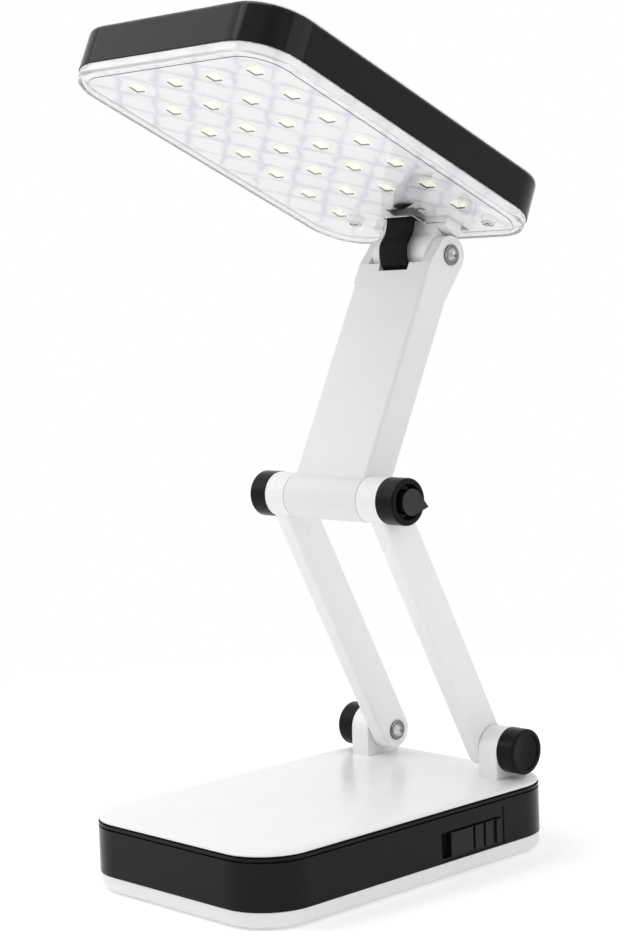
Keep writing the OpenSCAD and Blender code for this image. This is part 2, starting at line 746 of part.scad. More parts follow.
module mid_nut() {
  color([0.66, 0.66, 0.68]) at_mid_legs() difference() {
    rod(-leg_x1 - spring_t - nut_t, -leg_x1 - spring_t, nut_r, fn = 6);
    rod(-leg_x1 - spring_t - nut_t - 1, -leg_x1, pin_r);
  }
}

module mid_washer() {
  color([0.7, 0.7, 0.68]) at_mid_legs() difference() {
    rod(-leg_x1 - spring_t, -leg_x1, washer_r);
    rod(-leg_x1 - spring_t - 1, -leg_x1 + 1, pin_r);
  }
}

module mid_cap_left() {
  color([0.04, 0.04, 0.045]) at_mid_legs() translate([-leg_x1, 0, 0]) mirror([1, 0, 0])
    cap(mid_cap_l, washer_r + 1, mid_cap_wall);
}

well_r = 8;
well_d = 3.2;
hub_r = 5;
hub_play = 0.08;

module mid_cap_right() {
  l = mid_cap_l;
  color([0.04, 0.04, 0.045]) at_mid_legs() translate([leg_x1, 0, 0])
    turned(concat([[hub_r + hub_play, 0], [cap_r, 0]], arc(cap_r - 1, l - 1, 1, 0, 75, 5),
      [[well_r + 0.7, l], [well_r, l - 0.8], [well_r, l - well_d], [hub_r + hub_play, l - well_d]]));
}

knob_out = 2.2;
knob_turn = -16;          // direction of the pointed end above the rear, degrees

module friction_knob() {
  l = mid_cap_l;
  ta = acos(knob_r / knob_tip);
  color([0.05, 0.05, 0.055]) at_mid() difference() {
    union() {
      rod(leg_x1 + side_gap, leg_x1 + l - well_d + side_gap + e, hub_r);
      rod(leg_x1 + l - well_d + side_gap, leg_x1 + l + side_gap, knob_r - 0.4);
      across(leg_x1 + l + side_gap - e, leg_x1 + l + knob_out) rotate([0, 0, knob_turn])
        polygon(concat([[knob_tip, 0]], arc(0, 0, knob_r, ta, 360 - ta, 36)));
    }
    rod(leg_x1, leg_x1 + axle_end + 0.3, pin_r + pin_play);
  }
}

// ---------- arm ----------

plate_top = arm_l - 9;    // the front plate ends here, below the head hinge
rear_z0 = barrel_r + 3;
rear_z1 = arm_l - 30;
rear_t = 2;
arm_boss_r = 3;
arm_screw_r = 1.1;
arm_screw_l = 7;
arm_recess = 0.8;         // from the cover's inner face to the undersides of the screws' heads
arm_round = 2;            // rounding of the arm's long front edges
arm_screw_z = [rear_z0 + 14, rear_z1 - 14];
ear_x = arm_w / 2 - ear_w;
arm_way_x = 5;            // where the cable turns up into the arm
strap_notch = 4;          // depth of the notch that lets the strap over the front plate

module arm_shell() {
  color([0.92, 0.92, 0.91]) at_arm() difference() {
    union() {
      // channel section, closed in front with rounded edges and open behind
      linear_extrude(plate_top) difference() {
        union() {
          translate([0, (arm_rear - arm_front) / 2]) rrect(arm_w, arm_rear + arm_front, arm_round);
          translate([-arm_w / 2, 0]) square([arm_w, arm_rear]);
        }
        translate([arm_t - arm_w / 2, arm_t - arm_front])
          square([arm_w - 2 * arm_t, arm_rear + arm_front]);
      }
      // ears
      both() across(ear_x, arm_w / 2) {
        translate([head_set, arm_l]) circle(ear_r);
        polygon([[-arm_front, plate_top - 10], [-arm_front, plate_top],
          [head_set - ear_r, arm_l], [head_set + ear_r * cos(20), arm_l - ear_r * sin(20)],
          [arm_rear, plate_top - 14], [arm_rear, plate_top - 20]]);
      }
      // barrel of the middle hinge
      rod(-barrel_x, barrel_x, barrel_r);
      // bosses for the rear cover's screws
      for (z = arm_screw_z) translate([0, arm_t - arm_front - e, z]) rotate([-90, 0, 0])
        cylinder(h = arm_rear - rear_t + arm_front - arm_t + e, r = arm_boss_r, $fn = 40);
    }
    rod(-barrel_x - 1, barrel_x + 1, pin_r + pin_play);
    // cable way out of the leg ring and up into the channel
    translate([0, pin_r + cable_r + 1, 0]) {
      rod(arm_way_x - cable_r - joint_gap, barrel_x + 1, cable_r + joint_gap, fn = 32);
      translate([arm_way_x, 0, 0]) cylinder(h = barrel_r + 2, r = cable_r + joint_gap, $fn = 32);
    }
    for (z = arm_screw_z) translate([0, arm_rear - rear_t - arm_screw_l - 1, z]) rotate([-90, 0, 0])
      cylinder(h = arm_screw_l + 2, r = arm_screw_r, $fn = 24);
    translate([0, head_set, arm_l]) rod(-arm_w, arm_w, pin_r);
    translate([-strap_w / 2 - side_gap, -arm_front - 1, plate_top - strap_notch])
      cube([strap_w + 2 * side_gap, arm_t + 2, strap_notch + 1]);
    // room for the head bracket's drum
    translate([0, head_set, arm_l]) rod(-ear_x, ear_x, drum_r + side_gap);
  }
}

module arm_rear_cover() {
  w = arm_w - 2 * arm_t - 2 * joint_gap;
  color([0.9, 0.9, 0.89]) at_arm() difference() {
    translate([-w / 2, arm_rear - rear_t, rear_z0]) cube([w, rear_t, rear_z1 - rear_z0]);
    for (z = arm_screw_z) translate([0, arm_rear - rear_t - 1, z]) rotate([-90, 0, 0]) {
      cylinder(h = rear_t + 2, r = arm_screw_r + joint_gap, $fn = 24);
      translate([0, 0, 1 + arm_recess]) cylinder(h = rear_t, r = small_head_r + joint_gap, $fn = 32);
    }
  }
}

module arm_screws() {
  color([0.65, 0.65, 0.67]) at_arm() for (z = arm_screw_z)
    translate([0, arm_rear - rear_t + arm_recess, z]) rotate([90, 0, 0])
      screw_up(arm_screw_r, arm_screw_l, small_head_r, small_head_t);
}

module arm_cable() {
  y = pin_r + cable_r + 1;
  yf = arm_t + cable_r + joint_gap - arm_front;
  color([0.1, 0.1, 0.11]) at_arm()
    cable([[barrel_x - 0.6, y, 0], [arm_way_x, y, 0], [arm_way_x, y, barrel_r + 4],
      [8, -2, barrel_r + 16], [8, yf, barrel_r + 30], [8, yf, plate_top - 14],
      [7, yf, arm_l + strap_pts[0][1] - strap_t]]);
}

// Flat black strap that carries the leads over the head hinge, as a Y-Z ribbon in the arm's frame
strap_pts = [[-8.1, -19], [-8.3, -13.2], [-9.8, -10.8], [-12, -9.4], [-14.3, -6.4], [-16, -2.6],
  [-16.1, 0.4], [-15.3, 3.8], [-15.1, 6.4], [-15.7, 9.6], [-16.6, 12.6], [-17, 15], [-17.8, 17.4],
  [-20, 18.4], [-36, 18.8]];

// Ribbon of thickness t along a list of points in a plane
module ribbon(pts, t) {
  n = len(pts);
  dir = [for (i = [0:n - 1])
    let (a = pts[max(i - 1, 0)], b = pts[min(i + 1, n - 1)]) (b - a) / norm(b - a)];
  polygon(concat(
    [for (i = [0:n - 1]) pts[i] + t / 2 * [-dir[i][1], dir[i][0]]],
    [for (i = [n - 1:-1:0]) pts[i] - t / 2 * [-dir[i][1], dir[i][0]]]));
}

module cable_strap() {
  color([0.03, 0.03, 0.035]) at_ear() across(-strap_w / 2, strap_w / 2)
    ribbon(strap_pts, strap_t);
}

module head_pins() {
  x1 = arm_w / 2 + flange_gap + flange_t;
  x0 = drum_x - drum_wall - flange_gap - flange_t;
  color([0.6, 0.6, 0.62]) both() at_head_hinge() translate([x1, 0, 0]) mirror([1, 0, 0])
    rivet(x1 - x0);
}

// ---------- head ----------

drum_r = 11.9;
drum_shell = 2.4;         // wall of the drum around its hollow middle
drum_x = ear_x - run_gap;
drum_wall = 5;            // each half of the drum, between its outer face and the hollow middle
neck_a = 8.6;             // reach of the neck in front of the head hinge
neck_b = 8;               // and behind it
neck_t = 2;               // wall of the neck around the duct for the leads
duct_w = strap_w - 2;
cheek_w = ear_w - 0.4;
cheek_a = 8.8;            // reach of a cheek in front of the head hinge
cheek_b = 2;              // and behind it
cheek_z = [11.8, 10.4, 10.2]; // its lower edge above the hinge: front, middle, rear
seat_drop = 6;            // from the cover down to the underside of the bracket's top flange
seat_t = 2;
seat_screw_l = 6;
band_up = lens_up + lens_out;
cover_up = band_up + head_band_h;
head_top = cover_up + cover_t;
seat_z = cover_up - seat_drop;
flange_back = head_back - base_t - joint_gap - lip_t - side_gap;
seat_out = 6;             // the flange reaches past the cheeks by this much on each side
seat_front = 3;           // and in front
flange_front = -cheek_a - seat_front;
seat_hole_in = 3.4;       // from the flange's edges to its screws
head_yc = head_back - head_l / 2;

module head_bracket() {
  color([0.93, 0.93, 0.92]) at_head() difference() {
    union() {
      rod(-drum_x, drum_x, drum_r);
      across(-drum_x, drum_x) polygon([[-neck_a, 0], [neck_b, 0], [neck_b, seat_z], [-neck_a, seat_z]]);
      both() across(arm_w / 2 - cheek_w, arm_w / 2)
        polygon([[-cheek_a, cheek_z[0]], [-cheek_b, cheek_z[1]], [cheek_b, cheek_z[2]],
          [cheek_b, seat_z], [-cheek_a, seat_z]]);
      // webs between the neck and the cheeks, inside the head
      both() across(drum_x - e, arm_w / 2 - cheek_w + e)
        polygon([[-neck_a, lens_up], [cheek_b, lens_up], [cheek_b, seat_z], [-neck_a, seat_z]]);
      translate([-arm_w / 2 - seat_out, flange_front, seat_z])
        cube([arm_w + 2 * seat_out, flange_back - flange_front, seat_t]);
    }
    rod(-drum_x - 1, drum_x + 1, pin_r + pin_play);
    // hollow middle: room for the pins' inner flanges and the leads
    rod(drum_wall - drum_x, drum_x - drum_wall, drum_r - drum_shell);
    translate([-duct_w / 2, neck_t - neck_a, neck_t])
      cube([duct_w, neck_a + neck_b - 2 * neck_t, seat_z + seat_t]);
    seat_places() translate([0, 0, seat_z - 1]) cylinder(h = seat_t + 2, r = board_screw_r + joint_gap);
  }
}

module seat_places() {
  for (x = [-1, 1], y = [flange_front + seat_hole_in, flange_back - seat_hole_in])
    translate([x * (arm_w + seat_out) / 2, y, 0]) children();
}

module bracket_screws() {
  color([0.65, 0.65, 0.67]) at_head() seat_places() translate([0, 0, seat_z])
    screw_up(board_screw_r, seat_screw_l, small_head_r, small_head_t);
}

band_edge = 0.3;          // chamfer along the head band's lower edge

module head_band() {
  color([0.035, 0.035, 0.04]) at_head() translate([0, head_yc, 0])
    rim(head_w, head_l, head_r, [[head_r - base_t, band_up], [head_r - band_edge, band_up],
      [head_r, band_up + band_edge], [head_r, cover_up - band_chamfer],
      [head_r - 0.6 * band_chamfer, cover_up], [head_r - base_t, cover_up]]);
}

lens_posts = [[47.3, -4.5], [-34.6, -13]]; // right and left, from the head hinge
lens_post_r = 3.6;
lens_screw_l = 7;
lens_head_r = 2.7;
lens_head_t = 0.8;
lens_recess = 0.9;        // the screws' heads lie this deep in the lens

module lens_places() {
  for (p = lens_posts) translate([p[0], p[1], 0]) children();
}

module head_cover() {
  r = head_r - trim_inset;
  color([0.95, 0.95, 0.94]) at_head() difference() {
    union() {
      translate([0, head_yc, 0]) {
        plate(head_w - 2 * trim_inset, head_l - 2 * trim_inset, r,
          concat([[0, cover_up], [r, cover_up]],
            crown(r, head_top), [[0, head_top]]),
          cover_up, head_top);
        difference() {
          rprism(head_w - 2 * base_t - 2 * joint_gap, head_l - 2 * base_t - 2 * joint_gap,
            head_r - base_t - joint_gap, cover_up - lip_h, lip_h + e);
          rprism(head_w - 2 * base_t - 2 * joint_gap - 2 * lip_t,
            head_l - 2 * base_t - 2 * joint_gap - 2 * lip_t,
            head_r - base_t - joint_gap - lip_t, cover_up - lip_h - 1, lip_h + 1);
        }
        led_post_places() translate([0, 0, led_z + led_board_t])
          cylinder(h = cover_up - led_z - led_board_t + e, r = board_post_r);
      }
      seat_places() translate([0, 0, seat_z + seat_t])
        cylinder(h = cover_up - seat_z - seat_t + e, r = board_post_r);
      lens_places() translate([0, 0, lens_up + lens_t])
        cylinder(h = cover_up - lens_up - lens_t + e, r = lens_post_r);
    }
    seat_places() translate([0, 0, seat_z]) cylinder(h = seat_screw_l, r = board_screw_r);
    lens_places() translate([0, 0, lens_up]) cylinder(h = lens_screw_l + 2, r = board_screw_r);
    translate([0, head_yc, 0]) led_post_places() translate([0, 0, led_z])
      cylinder(h = led_screw_l + 1, r = board_screw_r);
  }
}

slot_front = 18.3;        // reach of the strap's slot in front of the head hinge
lens_lip = 2.6;           // width of the lens's clear rim
lens_edge = 1.6;          // rounding of the lens's edge
lens_inset = 0.5;         // the lens stands inside the band by this much
lens_groove = 5;          // inset of the fine groove line along the rim
fine_w = 0.6;             // width and depth of that line
fine_d = 0.25;

module lens() {
  w = head_w - 2 * lens_inset;
  l = head_l - 2 * lens_inset;
  r = head_r - lens_inset;
  color([0.92, 0.94, 0.96, 0.35]) at_head() difference() {
    translate([0, head_yc, 0]) difference() {
      plate(w, l, r, concat([[0, lens_up]], arc(r - lens_edge, lens_up + lens_edge, lens_edge, -90, 0),
        [[r, band_up], [0, band_up]]), lens_up, band_up);
      rprism(w - 2 * lens_lip, l - 2 * lens_lip, r - lens_lip, lens_up + lens_t, lens_out);
      rim(w - 2 * lens_groove, l - 2 * lens_groove, r - lens_groove,
        [[r - lens_groove - fine_w, lens_up - 1], [r - lens_groove, lens_up - 1],
         [r - lens_groove, lens_up + fine_d], [r - lens_groove - fine_w, lens_up + fine_d]]);
    }
    // openings for the bracket and the strap
    translate([-arm_w / 2 - joint_gap, -cheek_a - joint_gap, lens_up - 1])
      cube([arm_w + 2 * joint_gap, cheek_a + neck_b + 2 * joint_gap, lens_out + 2]);
    translate([-strap_w / 2 - side_gap, -slot_front, lens_up - 1])
      cube([strap_w + 2 * side_gap, slot_front - cheek_a + 1, lens_out + 2]);
    lens_places() {
      translate([0, 0, lens_up - 1]) cylinder(h = lens_out + 2, r = board_screw_r + joint_gap);
      translate([0, 0, lens_up - 1]) cylinder(h = 1 + lens_recess, r = lens_head_r + run_gap);
    }
  }
}

module lens_screws() {
  color([0.7, 0.7, 0.72]) at_head() lens_places() translate([0, 0, lens_up + lens_recess])
    screw_up(board_screw_r, lens_screw_l, lens_head_r, lens_head_t);
}

sheet_z = lens_up + lens_out;
sheet_t = 0.6;
led_gap = 1;              // between the sheet and the LED board
led_z = sheet_z + sheet_t + led_gap;
led_board_t = 1.6;
led_board_w = 104;
led_board_l = 146;
led_notch_l = 20;         // notch at the board's rear end, where the strap's leads arrive
led_notch_w = 30;
led_h = 2.9;              // the LEDs stand down through the sheet
led_rows = 7;
led_play = 0.4;           // between an LED and its hole in the sheet
led_hole_x = 4;           // from the LED board's edges to its screws
led_hole_y = 6;
led_screw_l = 6;
led_head_r = 1.9;
led_head_t = 0.9;
key_x = 4;                // round end of the keyhole, beside the strap's slot
key_y = 1.4;
key_r = 1.8;
key_w = 1.6;

// LED places: six full rows of four and a last row without its middle two
module led_places() {
  for (row = [0:led_rows - 1], col = [0:3])
    if (row > 0 || col == 0 || col == 3)
      translate([(col - 1.5) * led_dx, -led_y - row * led_dy, 0]) children();
}

module led_post_places() {
  for (x = [-1, 1], y = [-1, 1])
    translate([x * (led_board_w / 2 - led_hole_x),
      led_board_yc - head_yc + y * (led_board_l / 2 - led_hole_y), 0]) children();
}

led_board_yc = -led_y - (led_rows - 1) * led_dy / 2;

module reflector_sheet() {
  in = base_t + joint_gap;
  color([0.9, 0.9, 0.93]) at_head() difference() {
    translate([0, head_yc, 0]) rprism(head_w - 2 * in, head_l - 2 * in, head_r - in, sheet_z, sheet_t);
    led_places() translate([-led_s / 2 - led_play, -led_s / 2 - led_play, sheet_z - 1])
      cube([led_s + 2 * led_play, led_s + 2 * led_play, sheet_t + 2]);
    translate([-arm_w / 2 - joint_gap, -cheek_a - joint_gap, sheet_z - 1])
      cube([arm_w + 2 * joint_gap, cheek_a + neck_b + 2 * joint_gap, sheet_t + 2]);
    translate([-strap_w / 2 - side_gap, -slot_front - 1, sheet_z - 1])
      cube([strap_w + 2 * side_gap, slot_front - cheek_a + 2, sheet_t + 2]);
    // small keyhole beside the slot
    translate([strap_w / 2 + key_x, key_y - slot_front, sheet_z - 1])
      cylinder(h = sheet_t + 2, r = key_r);
    translate([strap_w / 2, key_y - slot_front - key_w / 2, sheet_z - 1])
      cube([key_x, key_w, sheet_t + 2]);
    lens_places() translate([0, 0, sheet_z - 1])
      cylinder(h = sheet_t + 2, r = lens_post_r + joint_gap);
  }
}

module led_board() {
  color([0.85, 0.86, 0.84]) at_head() difference() {
    translate([-led_board_w / 2, led_board_yc - led_board_l / 2, led_z])
      cube([led_board_w, led_board_l, led_board_t]);
    translate([0, head_yc, 0]) led_post_places() translate([0, 0, led_z - 1])
      cylinder(h = led_board_t + 2, r = board_screw_r + joint_gap);
    translate([-led_notch_w / 2, led_board_yc + led_board_l / 2 - led_notch_l, led_z - 1])
      cube([led_notch_w, led_notch_l + 1, led_board_t + 2]);
  }
}

module led_board_screws() {
  color([0.7, 0.7, 0.72]) at_head() translate([0, head_yc, 0]) led_post_places()
    translate([0, 0, led_z]) screw_up(board_screw_r, led_screw_l, led_head_r, led_head_t);
}

module leds() {
  color([1, 0.98, 0.85]) at_head() led_places()
    translate([-led_s / 2, -led_s / 2, led_z - led_h]) cube([led_s, led_s, led_h]);
}

// ---------- selection ----------

base_tray();
rubber_feet();
base_screws();
base_band();
base_cover();
battery();
circuit_board();
board_screws();
board_components();
slide_switch();
switch_thumb_piece();
charging_inlet();
base_cable();
battery_leads();
base_cap_right();
base_cap_left();
base_pins();
base_washers();
leg_right();
leg_left();
leg_cover_right();
leg_cover_left();
leg_cable();
mid_axle();
mid_nut();
mid_washer();
mid_cap_left();
mid_cap_right();
friction_knob();
arm_shell();
arm_rear_cover();
arm_screws();
arm_cable();
cable_strap();
head_pins();
head_bracket();
bracket_screws();
head_band();
head_cover();
lens();
lens_screws();
reflector_sheet();
led_board();
led_board_screws();
leds();
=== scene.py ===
"""Looks of the accordion desk lamp: materials, detailed pieces, floor, light and camera.

Lengths are metres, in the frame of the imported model. Places in the head are given in the head's own frame,
which starts at the head hinge: u across the lamp, v towards the rear, w up out of the lens.
"""

import math

import bmesh
import bpy
from mathutils import Matrix, Vector
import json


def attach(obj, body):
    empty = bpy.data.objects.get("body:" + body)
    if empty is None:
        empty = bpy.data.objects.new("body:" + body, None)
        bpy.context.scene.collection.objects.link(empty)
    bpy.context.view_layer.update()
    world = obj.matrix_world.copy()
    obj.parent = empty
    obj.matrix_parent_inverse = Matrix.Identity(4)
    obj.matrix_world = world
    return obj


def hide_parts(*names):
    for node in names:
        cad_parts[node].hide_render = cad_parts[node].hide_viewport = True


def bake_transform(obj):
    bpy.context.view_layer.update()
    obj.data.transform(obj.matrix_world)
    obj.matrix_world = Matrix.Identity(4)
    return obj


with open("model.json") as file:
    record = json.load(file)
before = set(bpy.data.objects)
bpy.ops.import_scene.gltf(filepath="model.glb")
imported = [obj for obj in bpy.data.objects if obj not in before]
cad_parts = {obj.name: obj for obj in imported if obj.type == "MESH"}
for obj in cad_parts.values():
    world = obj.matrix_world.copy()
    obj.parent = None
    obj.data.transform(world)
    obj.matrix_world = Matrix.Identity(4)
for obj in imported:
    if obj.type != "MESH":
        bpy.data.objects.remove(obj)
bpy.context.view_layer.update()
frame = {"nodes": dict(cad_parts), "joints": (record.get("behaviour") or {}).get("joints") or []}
NODES = frame["nodes"]
JOINTS = {joint["name"]: joint for joint in frame["joints"]}
scene = bpy.context.scene
MM = 0.001


class Tree:
    """Short ways to add and join shader nodes."""

    def __init__(self, owner):
        owner.use_nodes = True
        self.nodes, self.links = owner.node_tree.nodes, owner.node_tree.links

    def put(self, value, socket):
        """Join an output to a socket, or write a plain value into it."""
        if isinstance(value, bpy.types.NodeSocket):
            self.links.new(value, socket)
        else:
            socket.default_value = value

    def add(self, kind, inputs=(), **settings):
        """A node with its settings, and with inputs by name or number."""
        node = self.nodes.new("ShaderNode" + kind)
        for key, value in settings.items():
            setattr(node, key, value)
        for key, value in dict(inputs).items():
            self.put(value, node.inputs[key])
        return node

    def math(self, operation, a, b=0.0):
        return self.add("Math", {0: a, 1: b}, operation=operation).outputs[0]

    def vector(self, operation, a, b=None):
        inputs = {0: a} if b is None else {0: a, 1: b}
        node = self.add("VectorMath", inputs, operation=operation)
        return node.outputs["Value" if operation in ("LENGTH", "DOT_PRODUCT") else "Vector"]

    def span(self, value, low, high, low_in=0.3, high_in=0.7, shape="LINEAR"):
        """Carry a value over from one range to another."""
        inputs = {"Value": value, "From Min": low_in, "From Max": high_in, "To Min": low, "To Max": high}
        return self.add("MapRange", inputs, interpolation_type=shape).outputs["Result"]

    def mix(self, share, first, second):
        """Two shaders, the second with this share."""
        return self.add("MixShader", {0: share, 1: first, 2: second}).outputs[0]


# ---------- camera ----------

IMAGE_LONG_SIDE = 931
FOCAL_PX = 2100.35
SENSOR = 36.0
CAM_PLACE = (0.717572, -0.695868, 0.27853)
CAM_RIGHT = (0.697529, 0.715683, -0.035385)
CAM_UP = (-0.035595, 0.083928, 0.995836)
CAM_BACK = (0.715672, -0.693365, 0.084017)
CLIP = (0.01, 50)


def add_camera():
    data = bpy.data.cameras.new("camera")
    data.sensor_fit = "AUTO"
    data.sensor_width = SENSOR
    data.lens = FOCAL_PX / IMAGE_LONG_SIDE * SENSOR
    data.clip_start, data.clip_end = CLIP
    camera = bpy.data.objects.new("camera", data)
    scene.collection.objects.link(camera)
    place = Matrix((CAM_RIGHT, CAM_UP, CAM_BACK)).transposed().to_4x4()
    place.translation = Vector(CAM_PLACE)
    camera.matrix_world = place
    scene.camera = camera


add_camera()

# ---------- world and lamps ----------

scene.view_settings.view_transform = "Standard"
WHITE = (1, 1, 1, 1)
WORLD_LIGHT = 0.62
DARK_SIDE = (0.70, -0.69, 0.18)      # the studio's dark side, seen only in reflections
DARK_FROM, DARK_TO = 0.80, 0.97      # cosines where it starts and where it is darkest
DARK_LEFT = 0.12                     # the light that is left there


def add_world():
    """White to the camera and through glass, a soft light elsewhere, and a dark side in reflections."""
    world = bpy.data.worlds.new("studio")
    scene.world = world
    tree = Tree(world)
    tree.nodes.clear()
    path = tree.add("LightPath").outputs
    toward = tree.add("TexCoord").outputs["Generated"]
    toward = tree.vector("DOT_PRODUCT", toward, Vector(DARK_SIDE).normalized())
    dim = tree.span(toward, 1.0, DARK_LEFT, DARK_FROM, DARK_TO, "SMOOTHSTEP")
    seen, soft, mirrored = (tree.add("Background", {"Color": WHITE, "Strength": strength}).outputs[0]
                            for strength in (1, WORLD_LIGHT, dim))
    lit = tree.mix(path["Is Glossy Ray"], soft, mirrored)
    shown = tree.math("MAXIMUM", path["Is Camera Ray"], path["Is Transmission Ray"])
    tree.add("OutputWorld", {"Surface": tree.mix(shown, lit, seen)})


LAMPS = {
    # name: place, aim, side, watts
    "key_top": ((-0.35, -0.25, 1.5), (0, 0, 0.1), 1.2, 9),
    "fill_left": ((-1.1, -0.92, 1.12), (0, 0, 0.3), 1.1, 3.6),
    "strip_front": ((-0.95, -1.35, 1.2), (0, 0, 0.3), 0.3, 0.9),
    "fill_right": ((1.3, 0.5, 0.6), (0, 0, 0.2), 0.9, 2.4),
}


def add_lamp(name, place, aim, side, watts):
    data = bpy.data.lights.new(name, "AREA")
    data.energy = watts
    data.shape = "SQUARE"
    data.size = side
    lamp = bpy.data.objects.new(name, data)
    scene.collection.objects.link(lamp)
    lamp.location = place
    lamp.rotation_euler = (Vector(aim) - Vector(place)).to_track_quat("-Z", "Y").to_euler()


add_world()
for name, lamp in LAMPS.items():
    add_lamp(name, *lamp)

# ---------- floor ----------

FLOOR_HALF = 4.0
FLOOR_WHITE = (0.92, 0.92, 0.92, 1)
FLOOR_NEAR, FLOOR_FAR = 0.22, 0.6     # distances between which the floor goes over to plain white
FLOOR_SEEN, FLOOR_BOUNCE = 0.3, 0.16  # its own light, as the camera sees it and as it falls on the lamp


def floor_material():
    """A pale floor that keeps shadows near the lamp. Farther off it is as white as the world."""
    material = bpy.data.materials.new("floor_pale")
    tree = Tree(material)
    tree.nodes.clear()
    path = tree.add("LightPath").outputs
    seen = tree.math("MAXIMUM", path["Is Camera Ray"], path["Is Transmission Ray"])
    pale = tree.add("BsdfDiffuse", {"Color": FLOOR_WHITE}).outputs[0]
    level = tree.span(seen, FLOOR_BOUNCE, FLOOR_SEEN, 0, 1)
    glow = tree.add("Emission", {"Color": WHITE, "Strength": level}).outputs[0]
    near = tree.add("AddShader", {0: pale, 1: glow}).outputs[0]
    distance = tree.vector("LENGTH", tree.add("NewGeometry").outputs["Position"])
    fading = tree.span(distance, 0, 1, FLOOR_NEAR, FLOOR_FAR, "SMOOTHSTEP")
    white = tree.math("MULTIPLY", fading, tree.math("MAXIMUM", seen, path["Is Glossy Ray"]))
    far = tree.add("Emission", {"Color": WHITE, "Strength": 1}).outputs[0]
    tree.add("OutputMaterial", {"Surface": tree.mix(white, near, far)})
    return material


def add_floor():
    mesh = bpy.data.meshes.new("floor")
    corners = [(x * FLOOR_HALF, y * FLOOR_HALF, 0) for x, y in ((-1, -1), (1, -1), (1, 1), (-1, 1))]
    mesh.from_pydata(corners, [], [(0, 1, 2, 3)])
    mesh.materials.append(floor_material())
    floor = bpy.data.objects.new("floor", mesh)
    scene.collection.objects.link(floor)


add_floor()

# ---------- material helpers ----------


class Mat(Tree):
    """A Principled material with procedural detail in object coordinates."""

    def __init__(self, name, color, rough, **sockets):
        self.mat = bpy.data.materials.new(name)
        super().__init__(self.mat)
        self.bsdf = self.nodes["Principled BSDF"]
        self.bsdf.inputs["Base Color"].default_value = (*color, 1)
        self.bsdf.inputs["Roughness"].default_value = rough
        for key, value in sockets.items():
            self.bsdf.inputs[key.replace("_", " ")].default_value = value
        self.place = self.add("TexCoord").outputs["Object"]
        self.normal = None

    def noise(self, scale, detail=3.0, rough=0.5, distortion=0.0, stretch=None):
        place = self.place
        if stretch:
            place = self.add("Mapping", {"Vector": place, "Scale": stretch}).outputs["Vector"]
        return self.add("TexNoise", {"Vector": place, "Scale": scale, "Detail": detail, "Roughness": rough,
                                     "Distortion": distortion}).outputs["Fac"]

    def cells(self, scale):
        inputs = {"Vector": self.place, "Scale": scale}
        return self.add("TexVoronoi", inputs, feature="F1").outputs["Distance"]

    def ramp(self, fac, stops):
        """Colour by a factor: stops of (position, (r, g, b))."""
        node = self.add("ValToRGB", {"Fac": fac})
        elements = node.color_ramp.elements
        while len(elements) < len(stops):
            elements.new(0.5)
        for element, (at, color) in zip(elements, stops):
            element.position = at
            element.color = (*color, 1)
        return node.outputs["Color"]

    def mottle(self, fac, color, spread):
        """A base colour that swings a little to both sides."""
        dark = tuple(c * (1 - spread) for c in color)
        light = tuple(min(1, c * (1 + spread)) for c in color)
        self.set("Base Color", self.ramp(fac, [(0.3, dark), (0.7, light)]))

    def set(self, socket, value):
        self.put(value, self.bsdf.inputs[socket])

    def bevel(self, radius, samples=4):
        """Shaded rounding of the edges."""
        self.normal = self.add("Bevel", {"Radius": radius}, samples=samples).outputs["Normal"]
        self.set("Normal", self.normal)

    def bump(self, height, strength, distance):
        inputs = {"Strength": strength, "Distance": distance, "Height": height}
        if self.normal is not None:
            inputs["Normal"] = self.normal
        self.normal = self.add("Bump", inputs).outputs["Normal"]
        self.set("Normal", self.normal)


def grey(level, blue=0.0):
    """A neutral colour, or a slightly cold one."""
    return (level, level, level + blue)


def moulded(name, color, rough, grain, spread=0.012, edge=0.5 * MM, **sockets):
    """Injection-moulded plastic: faint flow tones, a fine grain and softened edges."""
    m = Mat(name, color, rough, **sockets)
    m.mottle(m.noise(28, 4, 0.55, 0.6), color, spread)
    m.set("Roughness", m.span(m.noise(60, 3), rough * 0.85, rough * 1.15))
    m.bevel(edge)
    m.bump(m.noise(2600, 2, 0.6), grain, 0.05 * MM)
    return m


# ---------- gloss and strap ----------

GLOSS_SHEEN = 0.17


def black_gloss(name):
    """Polished black plastic with faint waves."""
    color = grey(0.004, 0.0005)
    m = Mat(name, color, 0.07, Specular_IOR_Level=GLOSS_SHEEN)
    m.mottle(m.noise(40), color, 0.2)
    m.set("Roughness", m.span(m.noise(90, 4, 0.6), 0.05, 0.1))
    m.bevel(0.3 * MM)
    m.bump(m.noise(16, 2, 0.4), 0.08, 0.6 * MM)
    return m


BAND_TOP = 33.3 * MM
BAND_LINE = BAND_TOP - 2.5 * MM                   # height of the fine line round the base band
LINE_HALF, LINE_SOFT = 0.32 * MM, 0.15 * MM       # half of its width, and its soft edge
JOINT_H = 0.7 * MM                                # height of the joint between band and cover


def band_gloss():
    """Black gloss whose reflection is taken out in the joint under the cover and in the fine line below it:
    painted shade of the joint and the line's groove.
    """
    m = black_gloss("band_gloss")
    height = m.add("SeparateXYZ", {0: m.place}).outputs["Z"]
    away = m.math("ABSOLUTE", m.math("SUBTRACT", height, BAND_LINE))
    beside_line = m.span(away, 0, GLOSS_SHEEN, LINE_HALF, LINE_HALF + LINE_SOFT)
    below_joint = m.span(height, 1, 0, BAND_TOP - JOINT_H - LINE_SOFT, BAND_TOP - JOINT_H)
    # painted shade: the specular level falls to nothing in the fine line and the joint
    m.set("Specular IOR Level", m.math("MULTIPLY", beside_line, below_joint))
    return m


def strap_black():
    color = grey(0.004)
    m = Mat("strap_black", color, 0.5, Specular_IOR_Level=0.1)
    m.mottle(m.noise(300), color, 0.3)
    m.bump(m.noise(1200, 3, 0.6, stretch=(1, 0.1, 0.1)), 0.4, 0.08 * MM)
    return m


# ---------- metals, boards and battery ----------

